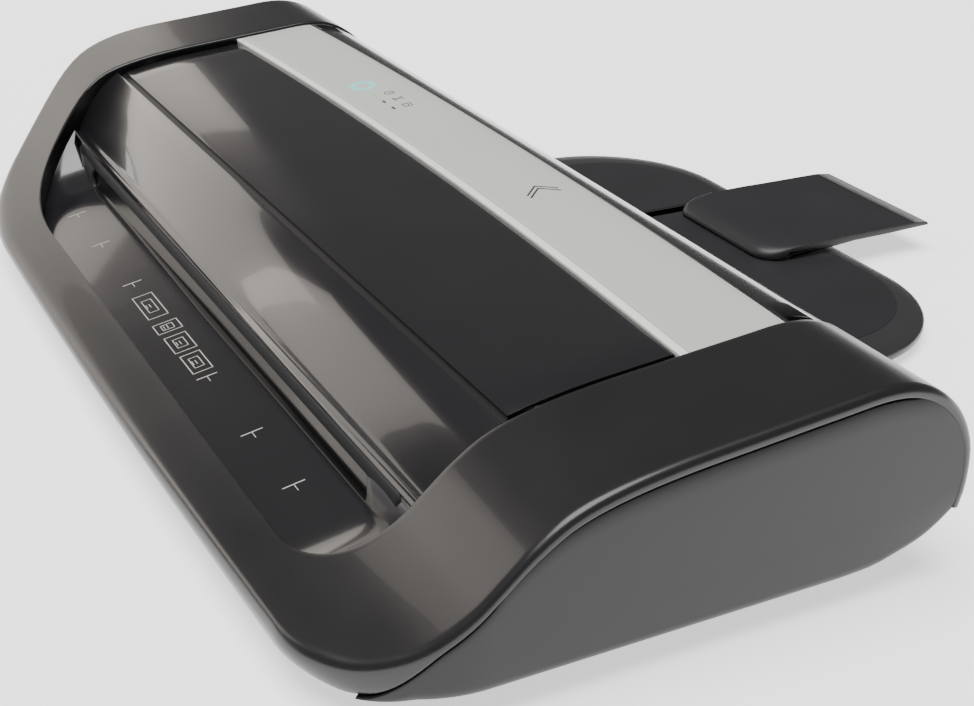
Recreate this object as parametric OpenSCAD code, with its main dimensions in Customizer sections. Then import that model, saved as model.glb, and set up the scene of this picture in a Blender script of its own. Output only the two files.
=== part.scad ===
// Pouch laminator for A3 sheets: a slim desktop machine with a wrap-round casing,
// a heated roller pair, a pull roller pair, and a sliding exit tray at the back.
// X runs along the machine, Y from the entry side to the exit side, Z up.
// Inside the modules Y is counted from the front nose; at_frame() centres it.

/* [Casing] */
// Overall width of the machine
body_w = 560; // [540:2:580]
// Width of the opening between the two end bands
open_w = 444; // [440:1:448]
// Radius of the front corners, seen from above
corner_r = 52; // [40:1:60]
// Wall thickness of the casing
wall = 3; // [2.5:0.1:3.2]
// Gap between a cover and its neighbour
seam = 0.6; // [0.4:0.1:0.8]

/* [Feeding] */
// Half width of the flat part of the input tray
tray_flat = 176; // [172:1:178]
// Slope of the input tray in degrees
tray_slope = 11; // [10:0.5:12]
// Half width of the entry mouth
mouth_half = 172; // [165:1:174]
// Half width of the exit slot
exit_half = 170; // [160:1:172]

/* [Rollers] */
// Radius of every roller
roller_r = 9; // [8.6:0.1:9.2]
// Radius of every roller shaft
shaft_r = 3; // [2.8:0.1:3.2]
// Gap between two rollers, where the pouch runs
nip = 0.6; // [0.4:0.1:0.8]
// Half length of the rubber sleeve
sleeve_half = 165; // [158:1:168]

/* [Exit tray] */
// Half width of the exit tray
exit_tray_half = 146; // [140:1:148]
// How far the exit tray reaches back from the nose
exit_tray_y = 390; // [380:1:395]
// Radius of the exit tray's rear corners
exit_tray_r = 50; // [40:1:60]
// Half width of the tongue
tongue_half = 41; // [36:1:42]

/* [Hidden] */
$fn = 48;
foot_h = 10;
floor_z = foot_h;
base_t = 2;
floor_top = floor_z + base_t;
foot_x = 236;
foot_y = [66, 186];
screw_x = 250;
screw_y = [62, 130, 200];
body_d = 243;
tongue_end = 441;
end_x = body_w/2;
open_x = open_w/2;
lip_y = 22;
open_r = 35;
run_gap = 0.05;
path_z = 36;
path_slope = 14.2;
guide_h = 8.4;
station = 60;
hot_y = 118;
pull_y = hot_y + station;
low_z = path_z - roller_r - nip/2;
high_z = path_z + roller_r + nip/2;
frame_x = 228;
frame_t = 2;
nip_x = 232;
drive_x = 240;
gear_w = 6;
nip_teeth = 20;
nip_mod = (2*roller_r + nip)/nip_teeth;
drive_teeth = 20;
idler_teeth = 48;
pinion_teeth = 12;
idler_y = hot_y + station/2;
idler_lift = 16;
idler_z = low_z + idler_lift;
motor_angle = 20;
motor_reach = (idler_teeth + pinion_teeth)/2;
motor_y = idler_y + motor_reach*cos(motor_angle);
motor_z = idler_z + motor_reach*sin(motor_angle);
board_z = 69;
cover_t = 2.5;
cover_x = open_w/2 - seam;
seam_y = 92.2;
strip_y = 160.4;
panel_y = 163.4;
trim_y = 205.4;
trim_z = 50.6;
slot_half_h = 4.7;
inlet_x = -192;
inlet_w = 28;
inlet_z = 40;
inlet_h = 20;
power_x = -104.5;
power_y = 183.2;
light_x = [-87, -76, -65];
light_y = 182;
plate_top = 9.6;
slit_x = 41.5;
slit_w = 7;
rail_x = exit_tray_half + 2;

// ---- placing and curves -------------------------------------------------

module at_frame() translate([0, -tongue_end/2, 0]) children();

// extrudes a (y, z) outline along X, centred
module along_x(w) rotate([90, 0, 90]) linear_extrude(w, center = true) children();

// the same, between two values of x
module span_x(x0, x1) translate([(x0 + x1)/2, 0, 0]) along_x(abs(x1 - x0)) children();

module both_ends() for (s = [-1, 1]) scale_x(s) children();
module scale_x(s) mirror([s < 0 ? 1 : 0, 0, 0]) children();

module box(a, b) translate(a) cube(b - a);

// a rod along X at (y, z)
module rod_x(x0, x1, y, z, r) translate([x0, y, z]) rotate([0, 90, 0]) cylinder(x1 - x0, r, r);

// one span of a smooth curve through a, b, c, d, from b to c
function span(a, b, c, d, t) =
  0.5*(2*b + t*(c - a) + t*t*(2*a - 5*b + 4*c - d) + t*t*t*(3*b - a - 3*c + d));
function curve(p, n) = [
  for (i = [0:len(p) - 2], k = [0:n - 1])
    span(p[max(i - 1, 0)], p[i], p[i + 1], p[min(i + 2, len(p) - 1)], k/n),
  p[len(p) - 1]];
function unit(v) = v/norm(v);
// moves an outline to its right-hand side by d
function inset(p, d) = [
  for (i = [0:len(p) - 1])
    let (t = unit(p[min(i + 1, len(p) - 1)] - p[max(i - 1, 0)])) p[i] + d*[t[1], -t[0]]];
function reversed(p) = [for (i = [len(p) - 1:-1:0]) p[i]];

// side view of the casing, from the nose over the top to the lower back
side = curve([[7, 10], [1.6, 11.6], [0, 15.4], [2.8, 19], [9.5, 21.2], [20, 23.4], [34, 30], [48, 40], [60, 50.5],
  [70, 59], [82, 66.5], [98, 71.5], [120, 75.2], [150, 78.2], [180, 81], [200, 82.6], [214, 80.8],
  [226, 75], [236, 65], [242, 52], [243, 38], [241, 27]], 5);

// a strip of the side view between two depths, from y0 to y1
module strip(d0, d1, y0, y1) intersection() {
  polygon(concat(inset(side, d0), reversed(inset(side, d1))));
  translate([y0, 0]) square([y1 - y0, 100]);
}

// the whole side view, inset by d, down to the floor of the casing
module side_view(d) {
  line = inset(side, d);
  intersection() {
    polygon(concat([for (p = line) if (p[1] > 18) p], [[226, 15], [208, floor_z], [6, floor_z]]));
    translate([0, floor_z]) square([body_d, 100]);
  }
}

// a quarter to cut away so that a corner becomes round
module corner_cut(r) difference() {
  translate([-1, -1]) square(r + 1);
  translate([r, r]) circle(r, $fn = 96);
}

module plan(x, y0, y1, r) difference() {
  translate([-x, y0]) square([2*x, y1 - y0]);
  translate([-x, y0]) corner_cut(r);
  translate([x, y0]) mirror([1, 0]) corner_cut(r);
}

// ---- casing and covers --------------------------------------------------

module casing() color("#3b3a3c") at_frame() {
  intersection() {
    linear_extrude(100) difference() {
      plan(end_x, -1, body_d + 1, corner_r);
      plan(open_x, lip_y, body_d + 2, open_r);
    }
    along_x(body_w + 10) strip(0, wall, -1, body_d + 1);
  }
  // inner wall of the opening
  intersection() {
    linear_extrude(100) difference() {
      plan(open_x + 2.2, lip_y - 2.2, body_d + 5, open_r + 2.2);
      plan(open_x, lip_y, body_d + 10, open_r);
    }
    along_x(body_w) intersection() {
      translate([10, 14]) square([226, 100]);
      difference() {
        side_view(wall/2);
        translate([0, -15]) side_view(wall/2);
      }
    }
  }
}

module end_panel() intersection() {
  linear_extrude(100) intersection() {
    difference() {
      plan(end_x - 1.5, 0.5, body_d, corner_r - 1.5);
      plan(end_x - 5.5, 4.5, body_d + 10, corner_r - 5.5);
    }
    translate([end_x - 45, 0]) square([50, body_d]);
  }
  along_x(body_w + 10) side_view(wall + 0.4);
}
module end_panel_left() color("#3c3c40") at_frame() mirror([1, 0, 0]) end_panel();
module end_panel_right() color("#3c3c40") at_frame() end_panel();

module base_shell() color("#232326") at_frame() {
  side_x = end_x - 10;
  difference() {
    union() {
      box([-side_x, 14, floor_z], [side_x, 208, floor_top]);
      // upswept rear wall
      along_x(2*side_x)
        polygon([[208, floor_z], [225.5, 14.9], [239, 26], [237, 27.8], [224, 17.4], [208, floor_top]]);
      // side walls
      both_ends() box([side_x - 2.5, 52, floor_z], [side_x, 206, 34]);
    }
    tongue_room();
    for (x = [-screw_x, screw_x], y = screw_y) translate([x, y, 0]) cylinder(30, 1.6, 1.6);
    for (x = [-foot_x, foot_x], y = foot_y) translate([x, y, 0]) cylinder(30, 2.6, 2.6);
    // rounded front corners
    both_ends() translate([end_x - corner_r, corner_r - 1, 0]) difference() {
      translate([0, -60, 0]) cube([60, 60, 100]);
      cylinder(100, corner_r - 10, corner_r - 10, $fn = 96);
    }
  }
  // roof and cheeks over the tongue's room
  difference() {
    box([-tongue_half - 6, 190, floor_top], [tongue_half + 6, 226, 19]);
    tongue_room();
  }
}
// the pushed-in tongue goes under the back of the base
module tongue_room() box([-tongue_half - 4, 192, 5], [tongue_half + 4, 245, 17]);

// the tray rises into a concave ramp at each end
ramp_r = 50;
ramp_w = 36;
function ramp(s) = [for (a = [0:5:45]) [s*(tray_flat + ramp_r*sin(a)), ramp_r*(1 - cos(a))]];
tray_top = concat(reversed(ramp(-1)), ramp(1));
module input_tray() color("#5a5654") at_frame() difference() {
  translate([0, 58, 20.6]) rotate([tray_slope, 0, 0]) rotate([90, 0, 0]) linear_extrude(34)
    polygon(concat(tray_top, [for (p = reversed(tray_top)) p - [0, 2]]));
  difference() {
    box([-230, 10, 0], [230, 60, 60]);
    linear_extrude(100) plan(open_x - seam, lip_y + seam, 80, open_r - seam);
  }
}

module mouth_bezel() color("#4a4848") at_frame() difference() {
  translate([0, 61, 0]) rotate([90, 0, 0]) linear_extrude(2.4) difference() {
    translate([-204, 20.9]) square([408, 15.6]);
    translate([-mouth_half, 21.3]) square([2*mouth_half, 9.4]);
    for (s = [-1, 1]) translate([s*mouth_half, 26]) circle(4.7);
  }
}

module mouth_lip() color("#2a2a2c") at_frame() {
  intersection() {
    box([-200, 61.2, 30.7], [200, 65.4, 37.4]);
    rotate([90, 0, 0]) translate([0, 0, -70]) linear_extrude(20) {
      translate([-193, 30]) square([386, 8]);
      for (s = [-1, 1]) translate([s*193, 37.4]) circle(6.7);
    }
  }
}

front_line = curve([[63.4, 38.6], [66, 43.2], [72, 51.4], [80, 60.6], [89, 67.4]], 5);
module front_cover() color("#454344") at_frame() along_x(2*cover_x)
  polygon(concat(front_line, reversed(inset(front_line, cover_t))));

module upper_cover() color("#3a393b") at_frame() {
  along_x(2*cover_x) strip(1.6, 1.6 + cover_t, seam_y, strip_y - 0.4);
  // step under the seam
  along_x(2*cover_x)
    polygon([[86.6, 61.6], [88.2, 59.6], [100, 65.6], [100, 69], [94, 68], [92.8, 66.4], [91, 64.9]]);
}

module control_panel() color("#c9ccc6") at_frame() difference() {
  along_x(2*cover_x) strip(1.4, 1.4 + cover_t, panel_y, trim_y - 0.4);
  translate([power_x, power_y, 70]) cylinder(20, 6.1, 6.1);
  light_pins(1.3);
}
module light_pins(r) for (x = light_x) translate([x, light_y, 70]) cylinder(20, r, r);

module panel_edge_strip() color("#f2f3ee") at_frame() along_x(2*cover_x)
  strip(1.4, 1.4 + cover_t, strip_y, panel_y - 0.4);

// clips a plug to the top of the control panel
module to_panel() intersection() {
  children();
  along_x(2*open_x) strip(1.5, 6, panel_y, trim_y);
}
module power_light_ring() color("#8fe6e2") at_frame() to_panel() difference() {
  translate([power_x, power_y, 70]) cylinder(20, 6, 6);
  translate([power_x, power_y, 69]) cylinder(22, 4.6, 4.6);
}
module status_lights() color("#7fb96a") at_frame() to_panel() light_pins(1.2);

// the skin over the back, between two values of x and of z
module back_skin(x0, x1, z0, z1) span_x(x0, x1) intersection() {
  strip(1, 1 + cover_t, trim_y, body_d);
  translate([trim_y, z0]) square([body_d - trim_y, z1 - z0]);
}
module rear_cover() color("#2c2c2f") at_frame() back_skin(-cover_x, cover_x, trim_z, 100);
module rear_panel() color("#29292c") at_frame() difference() {
  back_skin(inlet_x + inlet_w/2 + 1, cover_x, 20, trim_z - 0.4);
  box([-exit_half, 225, path_z - slot_half_h], [exit_half, 250, path_z + slot_half_h]);
}
module inlet_panel() color("#29292c") at_frame() difference() {
  back_skin(-cover_x, inlet_x + inlet_w/2 + 0.7, 20, trim_z - 0.4);
  box([inlet_x - inlet_w/2 + 0.1, 225, inlet_z - inlet_h/2 + 0.1],
    [inlet_x + inlet_w/2 - 0.1, 250, inlet_z + inlet_h/2 - 0.1]);
}

module mains_inlet() color("#1c1c1e") at_frame() difference() {
  union() {
    translate([inlet_x, 230, inlet_z]) cube([inlet_w - 0.4, 22, inlet_h - 0.4], center = true);
    // flange behind the panel
    translate([inlet_x, 233, inlet_z]) cube([inlet_w, 4, inlet_h], center = true);
  }
  translate([inlet_x, 236, inlet_z]) cube([22, 20, 13], center = true);
}

// ---- underside ----------------------------------------------------------

module rubber_feet() color("#202022") at_frame() for (x = [-foot_x, foot_x], y = foot_y) {
  translate([x, y, 0]) cylinder(foot_h, 7, 7);
  translate([x, y, 0]) cylinder(floor_top + 1, 2.5, 2.5);
  translate([x, y, floor_top]) cylinder(1.4, 3.4, 3.4);
}

module base_screws() color("#9a9a9e") at_frame()
  for (x = [-screw_x, screw_x], y = screw_y) translate([x, y, 0]) {
    translate([0, 0, floor_z - 1.6]) cylinder(1.6, 3, 3);
    translate([0, 0, floor_z - 0.5]) cylinder(8, 1.5, 1.5);
  }

module tray_rails() color("#29292c") at_frame() both_ends() {
  box([rail_x - 0.8, 70, 1.4], [rail_x + 2, 236, floor_z]);
  box([rail_x - 10, 70, 1.4], [rail_x + 2, 236, 2.9]);
}

// ---- frame and drive ----------------------------------------------------

module side_frame() difference() {
  span_x(frame_x, frame_x + frame_t) polygon([[84, 13], [212, 13], [212, 52], [204, 64], [96, 62], [84, 50]]);
  for (y = [hot_y, pull_y]) {
    rod_x(frame_x - 1, frame_x + frame_t + 1, y, low_z, 5);
    rod_x(frame_x - 1, frame_x + frame_t + 1, y, high_z, 5.02);
    box([frame_x - 1, y - 5.02, high_z], [frame_x + frame_t + 1, y + 5.02, 60]);
  }
}
module side_frame_left() color("#a9adb0") at_frame() mirror([1, 0, 0]) side_frame();
module side_frame_right() color("#a9adb0") at_frame() difference() {
  side_frame();
  rod_x(frame_x - 1, frame_x + frame_t + 1, idler_y, idler_z, shaft_r);
}

module tie_bars() color("#8f9396") at_frame()
  for (p = [[148, 57], [200, 57]]) rod_x(-frame_x, frame_x, p[0], p[1], 4);

module bush(z) rod_x(frame_x - 3, frame_x + frame_t + 1, 0, z, 5);
module bushes(z) both_ends() for (y = [hot_y, pull_y]) translate([0, y, 0]) difference() {
  bush(z);
  rod_x(frame_x - 5, frame_x + 8, 0, z, shaft_r + run_gap);
}
module lower_bushes() color("#b08d4a") at_frame() bushes(low_z);
module upper_bushes() color("#b08d4a") at_frame() bushes(high_z);

// a compression spring that stands on z = 0
module spring(h, r, wire, turns) {
  steps = 12*turns;
  sides = 6;
  ring_pts = [for (i = [0:steps], k = [0:sides - 1])
    let (a = 30*i, b = 60*k, q = r + wire*cos(b))
      [q*cos(a), q*sin(a), wire + (h - 2*wire)*i/steps + wire*sin(b)]];
  faces = concat([[for (k = [0:sides - 1]) k]],
    [for (i = [0:steps - 1], k = [0:sides - 1]) let (n = (k + 1)%sides)
      [i*sides + k, (i + 1)*sides + k, (i + 1)*sides + n, i*sides + n]],
    [[for (k = [sides - 1:-1:0]) steps*sides + k]]);
  polyhedron(ring_pts, faces);
}
module pressure_springs() color("#c9c9cc") at_frame() both_ends()
  for (y = [hot_y, pull_y]) translate([frame_x + frame_t/2, y, high_z + 5.3]) spring(9, 2.2, 0.4, 5);

// a plate that lies along the sloping path, h above it
module path_plate(y0, y1, h, t, x0, x1) translate([0, hot_y, path_z]) rotate([path_slope, 0, 0])
  box([x0, (y0 - hot_y)/cos(path_slope), h], [x1, (y1 - hot_y)/cos(path_slope), h + t]);
module lower_guide() color("#6d7073") at_frame() path_plate(62, 99, -2.6, 1.4, -172, 172);
module upper_guide() color("#6d7073") at_frame() path_plate(69.5, 99, guide_h, 1.4, -172, 172);
module exit_guides() color("#6d7073") at_frame() {
  box([-168, 190, path_z - 4.4], [168, 236, path_z - 3]);
  box([-168, 190, path_z + 4], [168, 234, path_z + 5.4]);
}
module heater_plates() color("#b9bcc0") at_frame() {
  box([-165, 131, path_z + 2.4], [165, 165, path_z + 8.2]);
  box([-165, 131, path_z - 8.2], [165, 165, path_z - 2.4]);
}
module thermostat() color("#d8d3c4") at_frame() {
  translate([-60, 148, path_z + 8.2]) cylinder(5, 8, 8);
  box([20, 143, path_z + 8.2], [46, 153, path_z + 12]);
}
module entry_sensor() color("#1f3a2a") at_frame()
  path_plate(76, 88, guide_h + 1.45, 5, 150, 166);

module control_board() color("#1f5c3a") at_frame() {
  box([-190, 168, board_z], [40, 200, board_z + 1.6]);
  box([-60, 174, board_z + 1.6], [-40, 190, board_z + 4]);
  box([10, 172, board_z + 1.6], [30, 196, board_z + 5]);
  // ribbon connector
  box([-185, 172, board_z - 6], [-165, 196, board_z]);
}

module power_board() color("#27613f") at_frame() {
  box([-262, 84, 18], [-234, 200, 19.6]);
  box([-260, 90, 19.6], [-236, 122, 44]);
  for (y = [136, 154]) translate([-248, y, 19.6]) cylinder(24, 7, 7);
  box([-258, 168, 19.6], [-238, 192, 34]);
  for (y = [88, 196], x = [-259, -237]) translate([x, y, floor_top]) cylinder(18 - floor_top, 2, 2);
}

module motor() color("#7d8184") at_frame() {
  rod_x(250, 268, motor_y, motor_z, 18);
  rod_x(268, 270, motor_y, motor_z, 6);
}
module motor_bracket() color("#9fa3a6") at_frame() difference() {
  union() {
    span_x(248.4, 250) polygon([[155, 36], [202, 36], [202, 62], [190, 70], [160, 70], [155, 62]]);
    rod_x(frame_x + frame_t, 248.4, 199, 41, 3);
    rod_x(frame_x + frame_t, 248.4, 199, 59, 3);
  }
  rod_x(240, 260, motor_y, motor_z, 5);
}
module idler_pin() color("#b9bcc0") at_frame() {
  rod_x(frame_x, drive_x + gear_w + 0.6, idler_y, idler_z, shaft_r);
  rod_x(drive_x + gear_w + 0.6, drive_x + gear_w + 1.6, idler_y, idler_z, shaft_r + 2);
}

// ---- gears --------------------------------------------------------------

// straight-flanked teeth, one of them centred on angle 0
module gear_outline(m, teeth) {
  r0 = m*teeth/2 - 1.15*m;
  r1 = m*teeth/2 + 0.85*m;
  step = 360/teeth;
  polygon([for (i = [0:teeth - 1], k = [[r0, -0.31], [r1, -0.13], [r1, 0.13], [r0, 0.31]])
    k[0]*[cos(step*(i + k[1])), sin(step*(i + k[1]))]]);
}
module gear(m, teeth, x, y, z, phase, bore) translate([x, y, z]) rotate([90, 0, 90]) difference() {
  linear_extrude(gear_w) rotate(phase) gear_outline(m, teeth);
  translate([0, 0, -1]) cylinder(gear_w + 2, bore, bore);
}
// phase of a gear in mesh with one of z1 teeth at phase a1, lying in direction phi from it
function mesh(a1, z1, phi, z2) = phi + 180 + (180 - z1*(a1 - phi))/z2;
to_idler = atan2(idler_lift, station/2);
hot_phase = 0;
idler_phase = mesh(hot_phase, drive_teeth, to_idler, idler_teeth);
pull_phase = mesh(idler_phase, idler_teeth, -to_idler, drive_teeth);
pinion_phase = mesh(idler_phase, idler_teeth, motor_angle, pinion_teeth);

// ---- rollers ------------------------------------------------------------

module shaft(y, z, x1) rod_x(-frame_x - 6, x1, y, z, shaft_r);
module sleeve(y, z) difference() {
  rod_x(-sleeve_half, sleeve_half, y, z, roller_r);
  rod_x(-sleeve_half - 1, sleeve_half + 1, y, z, shaft_r);
}
module nip_gear(y, z, phase) gear(nip_mod, nip_teeth, nip_x, y, z, phase, shaft_r);
module lower_gears(y, phase) {
  nip_gear(y, low_z, 0);
  gear(1, drive_teeth, drive_x, y, low_z, phase, shaft_r);
}
upper_phase = mesh(0, nip_teeth, 90, nip_teeth);

module hot_lower_shaft() color("#c4c7ca") at_frame() shaft(hot_y, low_z, 248);
module hot_lower_sleeve() color("#8a3b2c") at_frame() sleeve(hot_y, low_z);
module hot_lower_gears() color("#d9d5c8") at_frame() lower_gears(hot_y, hot_phase);
module hot_upper_shaft() color("#c4c7ca") at_frame() shaft(hot_y, high_z, 239);
module hot_upper_sleeve() color("#8a3b2c") at_frame() sleeve(hot_y, high_z);
module hot_upper_gear() color("#d9d5c8") at_frame() nip_gear(hot_y, high_z, upper_phase);
module pull_lower_shaft() color("#c4c7ca") at_frame() shaft(pull_y, low_z, 248);
module pull_lower_sleeve() color("#454548") at_frame() sleeve(pull_y, low_z);
module pull_lower_gears() color("#d9d5c8") at_frame() lower_gears(pull_y, pull_phase);
module pull_upper_shaft() color("#c4c7ca") at_frame() shaft(pull_y, high_z, 239);
module pull_upper_sleeve() color("#454548") at_frame() sleeve(pull_y, high_z);
module pull_upper_gear() color("#d9d5c8") at_frame() nip_gear(pull_y, high_z, upper_phase);

module idler_gear() color("#e3dfd2") at_frame()
  gear(1, idler_teeth, drive_x, idler_y, idler_z, idler_phase, shaft_r + run_gap);
module motor_pinion() color("#c9a24a") at_frame() {
  gear(1, pinion_teeth, drive_x, motor_y, motor_z, pinion_phase, 1.5);
  rod_x(drive_x, 249.8, motor_y, motor_z, 1.5);
}

// ---- exit side ----------------------------------------------------------

module tray_plan(d) difference() {
  plan_x = exit_tray_half - d;
  translate([0, exit_tray_y - d]) mirror([0, 1]) plan(plan_x, 0, exit_tray_y - d - 205, exit_tray_r - d);
}
module exit_tray() color("#2f3033") at_frame() difference() {
  translate([0, 0, 3.6]) linear_extrude(plate_top - 3.6) tray_plan(0);
  // hollow underside
  translate([0, 0, 3]) linear_extrude(3.4) intersection() {
    tray_plan(9);
    translate([-200, 216]) square([400, 200]);
  }
  // long slit beside the tongue
  box([-slit_x - slit_w/2, 246, 0], [-slit_x + slit_w/2, 400, 20]);
}

tongue_line = curve([[336, 10.6], [337.6, 13], [342, 15], [350, 16], [370, 16.2], [441, 15.6]], 5);
module exit_tongue() color("#2b2c2f") at_frame() intersection() {
  along_x(2*tongue_half) polygon(concat(tongue_line, [[441, 13.6], [392, 11], [380, 10], [337, 10]]));
  linear_extrude(40) difference() {
    translate([-tongue_half, 336]) square([2*tongue_half, 105]);
    for (s = [-1, 1]) scale_x(s) translate([tongue_half, 336]) mirror([1, 0]) corner_cut(12);
  }
}

casing();
end_panel_left();
end_panel_right();
base_shell();
input_tray();
mouth_bezel();
mouth_lip();
front_cover();
upper_cover();
control_panel();
panel_edge_strip();
power_light_ring();
status_lights();
rear_cover();
rear_panel();
inlet_panel();
mains_inlet();
rubber_feet();
base_screws();
tray_rails();
side_frame_left();
side_frame_right();
tie_bars();
lower_bushes();
upper_bushes();
pressure_springs();
lower_guide();
upper_guide();
exit_guides();
heater_plates();
thermostat();
entry_sensor();
control_board();
power_board();
motor();
motor_bracket();
idler_pin();
hot_lower_shaft();
hot_lower_sleeve();
hot_lower_gears();
hot_upper_shaft();
hot_upper_sleeve();
hot_upper_gear();
pull_lower_shaft();
pull_lower_sleeve();
pull_lower_gears();
pull_upper_shaft();
pull_upper_sleeve();
pull_upper_gear();
idler_gear();
motor_pinion();
exit_tray();
exit_tongue();
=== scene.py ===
import math

import bmesh
import bpy
from mathutils import Matrix, Vector


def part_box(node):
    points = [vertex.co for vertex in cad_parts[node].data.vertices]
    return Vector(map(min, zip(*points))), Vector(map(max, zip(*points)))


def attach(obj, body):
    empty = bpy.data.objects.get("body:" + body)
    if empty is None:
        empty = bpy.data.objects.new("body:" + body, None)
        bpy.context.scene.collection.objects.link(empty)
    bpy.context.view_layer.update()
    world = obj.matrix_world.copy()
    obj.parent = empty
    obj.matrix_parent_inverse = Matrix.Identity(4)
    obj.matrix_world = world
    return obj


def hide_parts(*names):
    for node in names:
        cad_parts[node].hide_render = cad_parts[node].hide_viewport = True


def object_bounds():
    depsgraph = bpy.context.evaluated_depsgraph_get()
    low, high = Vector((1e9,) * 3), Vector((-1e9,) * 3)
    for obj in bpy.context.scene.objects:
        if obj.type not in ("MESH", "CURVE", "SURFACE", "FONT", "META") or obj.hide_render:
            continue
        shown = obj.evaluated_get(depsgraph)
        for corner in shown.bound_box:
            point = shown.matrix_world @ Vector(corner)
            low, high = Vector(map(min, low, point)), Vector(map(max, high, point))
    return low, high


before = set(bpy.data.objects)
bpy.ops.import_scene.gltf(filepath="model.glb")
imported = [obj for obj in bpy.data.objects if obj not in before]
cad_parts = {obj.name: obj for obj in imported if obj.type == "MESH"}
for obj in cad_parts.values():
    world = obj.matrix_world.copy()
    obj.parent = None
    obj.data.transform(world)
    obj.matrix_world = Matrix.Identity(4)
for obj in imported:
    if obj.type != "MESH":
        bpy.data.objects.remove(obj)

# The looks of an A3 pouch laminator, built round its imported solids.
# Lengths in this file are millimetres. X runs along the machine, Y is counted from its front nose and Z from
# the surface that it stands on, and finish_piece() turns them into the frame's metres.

CAD_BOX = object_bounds()
MM = 0.001
NOSE_Y = CAD_BOX[0].y


def node_span(node):
    """A solid's lowest and highest corners, in this file's millimetres."""
    low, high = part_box(node)
    shift = Vector((0, -NOSE_Y, 0))
    return (low + shift) / MM, (high + shift) / MM


# ---- sizes taken from the solids -------------------------------------------

BODY_X = node_span("casing")[1].x
BODY_Y = node_span("casing")[1].y
FLOOR_Z = node_span("base_shell")[0].z
OPEN_X = node_span("front_cover")[1].x + 0.6
COVER_X = OPEN_X - 0.6
CORNER_R = 52
LIP_Y = 22
# front corners in plan, by side: where the outer curve starts and its radii in x and y, then the opening's.
# The left front corner reads much rounder than the right one
CORNERS = {1: ((BODY_X - CORNER_R, CORNER_R, CORNER_R), (OPEN_X - 35, 35, 35)),
           -1: ((118, BODY_X - 118, 121), (112, OPEN_X - 112, 64))}
BOW = 3.5
WALL = 3

TRAY_FLAT = {1: 178, -1: 165}
TRAY_SLOPE = math.tan(math.radians(11))
TRAY_BACK_Y = 58
TRAY_BACK_Z = 20.6
RAMP_R = 70

MOUTH_X = 172
MOUTH_Z = 26
MOUTH_R = 4.7

# side view of the casing, from the top of the lip over the machine to its lower back
SIDE = [(9.5, 21.2), (20, 23.4), (34, 30), (48, 40), (60, 50.5), (70, 59), (82, 66.5), (98, 71.5),
        (120, 75.2), (150, 78.2), (180, 81), (200, 82.6), (214, 80.8), (226, 75), (236, 65),
        (242, 52), (243, 38), (241, 27)]


# ---- camera ----------------------------------------------------------------

CAMERA_PLACE = (0.6261, -0.3571, 0.3220)    # in the frame's metres
CAMERA_TURN = (61.59, 26.25, 1.25)          # azimuth, elevation and roll in degrees
CAMERA_LENS = 59.57


def make_camera():
    """A camera in front of the right end, above it, looking along the machine."""
    azimuth, elevation, roll = (math.radians(a) for a in CAMERA_TURN)
    ahead = Vector((-math.sin(azimuth) * math.cos(elevation),
                    math.cos(azimuth) * math.cos(elevation), -math.sin(elevation)))
    right = ahead.cross(Vector((0, 0, 1))).normalized()
    up = right.cross(ahead)
    turned_right = math.cos(roll) * right + math.sin(roll) * up
    turned_up = -math.sin(roll) * right + math.cos(roll) * up
    data = bpy.data.cameras.new("camera")
    data.lens = CAMERA_LENS
    data.clip_start, data.clip_end = 0.01, 50
    camera = bpy.data.objects.new("camera", data)
    camera.matrix_world = (Matrix.Translation(CAMERA_PLACE)
                           @ Matrix((turned_right, turned_up, -ahead)).transposed().to_4x4())
    bpy.context.scene.collection.objects.link(camera)
    bpy.context.scene.camera = camera


make_camera()


# ---- materials -------------------------------------------------------------

def linear(hex_colour):
    """An sRGB hex colour as linear red, green, blue and alpha."""
    parts = [int(hex_colour[i:i + 2], 16) / 255 for i in (1, 3, 5)]
    return [p / 12.92 if p <= 0.04045 else ((p + 0.055) / 1.055) ** 2.4 for p in parts] + [1.0]


def add(tree, kind, settings=None, links=None):
    """Adds a node, sets its properties or sockets, and links other nodes' outputs to its inputs."""
    node = tree.nodes.new(kind)
    for key, value in (settings or {}).items():
        if isinstance(key, str) and hasattr(node, key):
            setattr(node, key, value)
        else:
            node.inputs[key].default_value = value
    for key, output in (links or {}).items():
        tree.links.new(output, node.inputs[key])
    return node


def new_material(name):
    """An empty material with its Principled shader and the object's own coordinates."""
    material = bpy.data.materials.new(name)
    material.use_nodes = True
    tree = material.node_tree
    shader = tree.nodes["Principled BSDF"]
    place = add(tree, "ShaderNodeTexCoord").outputs["Object"]
    return material, tree, shader, place


# a colour Mix node's sockets, by their places: its factor, its two colours and its result
FACTOR, LOW, HIGH, RESULT = 0, 6, 7, 2


def per_mm(size):
    """A texture's scale when one of its cells is to be this many millimetres across."""
    return 1 / (size * MM)


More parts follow.
